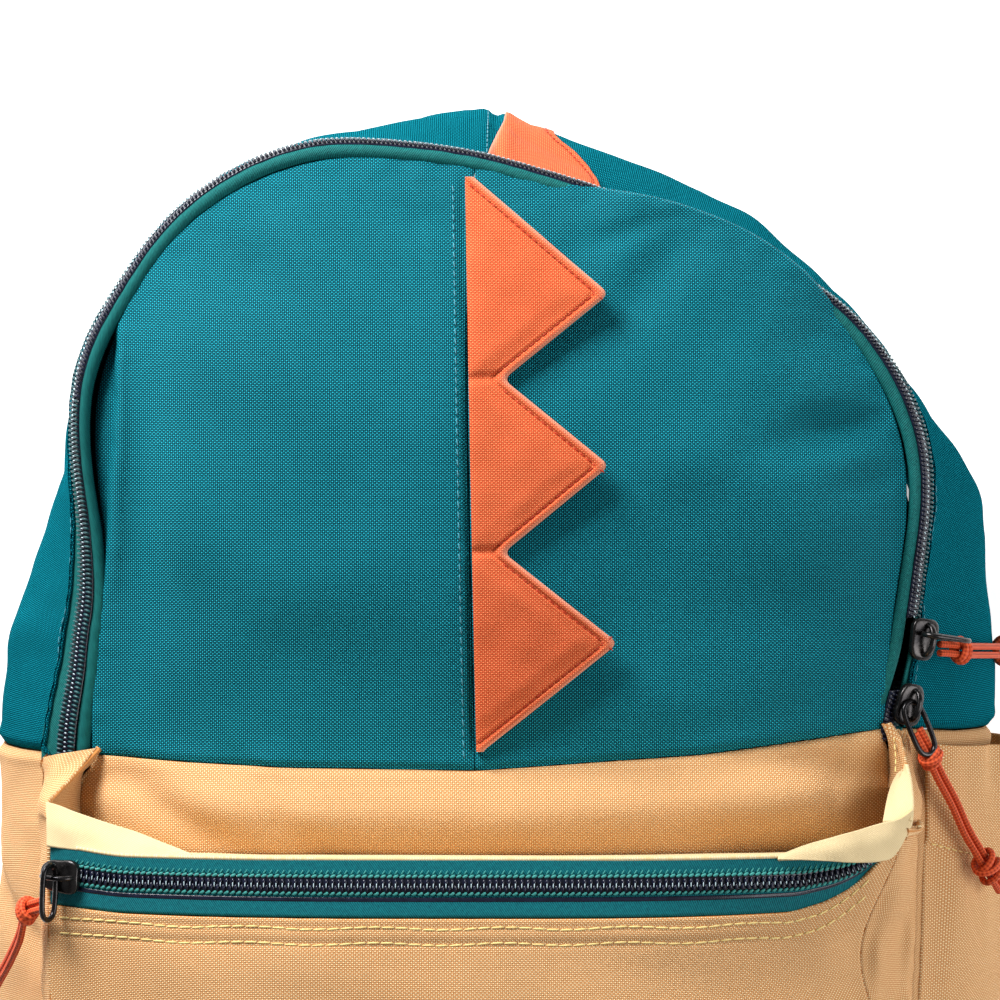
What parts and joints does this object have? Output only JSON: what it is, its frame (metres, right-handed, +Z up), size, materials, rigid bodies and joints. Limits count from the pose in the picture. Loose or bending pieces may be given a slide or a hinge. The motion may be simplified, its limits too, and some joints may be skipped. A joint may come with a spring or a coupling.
{
  "type": "kids backpack",
  "caption": "Small two-compartment backpack with arched main zip, full-width front pocket, side pocket, soft spikes down the front and padded shoulder straps.",
  "frame": {"origin": "middle of the base the bag lies on, under the centre of its outline, without the pull cords", "axes": "+Y toward the top of the bag, +Z up through the front face, +X toward the side pocket"},
  "size_m": [0.3118, 0.3809, 0.1652],
  "materials": {
    "teal_cloth": "plain-woven coated polyester, teal",
    "tan_cloth": "plain-woven coated polyester, light tan",
    "orange_cloth": "plain-woven coated polyester, orange",
    "zip_tape": "knitted zip tape, dark teal",
    "zip_coil": "nylon coil, near black",
    "pull_cord": "braided cord, orange",
    "padding": "foam padding in dark mesh cloth",
    "webbing": "woven webbing, dark teal",
    "slider_metal": "gunmetal lacquer",
    "buckle_plastic": "moulded, dark"
  },
  "bodies": {
    "root": {"gusset_top": "teal_cloth", "front_panel_left": "teal_cloth", "front_panel_right": "teal_cloth", "side_panel_left": "tan_cloth", "side_panel_right": "tan_cloth", "base_panel": "tan_cloth", "front_panel_lower": "tan_cloth", "pocket_front": "tan_cloth", "pocket_gusset": "tan_cloth", "pocket_top": "tan_cloth", "side_pocket": "tan_cloth", "spike_strip": "orange_cloth", "top_spike": "orange_cloth", "main_zip_tape_outer": "zip_tape", "main_zip_tape_inner": "zip_tape", "pocket_zip_tape_upper": "zip_tape", "pocket_zip_tape_lower": "zip_tape", "main_zip_coil": "zip_coil", "main_zip_coil_end": "zip_coil", "pocket_zip_coil": "zip_coil", "slider_upper": "slider_metal", "slider_lower": "slider_metal", "slider_pocket": "slider_metal", "pull_ring_upper": "slider_metal", "pull_ring_lower": "slider_metal", "pull_ring_pocket": "slider_metal", "back_panel": "padding", "shoulder_pad_left": "padding", "shoulder_pad_right": "padding", "strap_webbing_left": "webbing", "strap_webbing_right": "webbing", "haul_loop": "webbing", "strap_lock_left": "buckle_plastic", "strap_lock_right": "buckle_plastic", "pull_cord_upper_a": "pull_cord", "pull_cord_upper_b": "pull_cord", "pull_knot_upper": "pull_cord", "end_knot_upper": "pull_cord", "pull_cord_lower_a": "pull_cord", "pull_cord_lower_b": "pull_cord", "pull_knot_lower": "pull_cord", "end_knot_lower": "pull_cord", "pull_cord_pocket_a": "pull_cord", "pull_cord_pocket_b": "pull_cord", "pull_knot_pocket": "pull_cord", "end_knot_pocket": "pull_cord"}
  },
  "joints": []
}
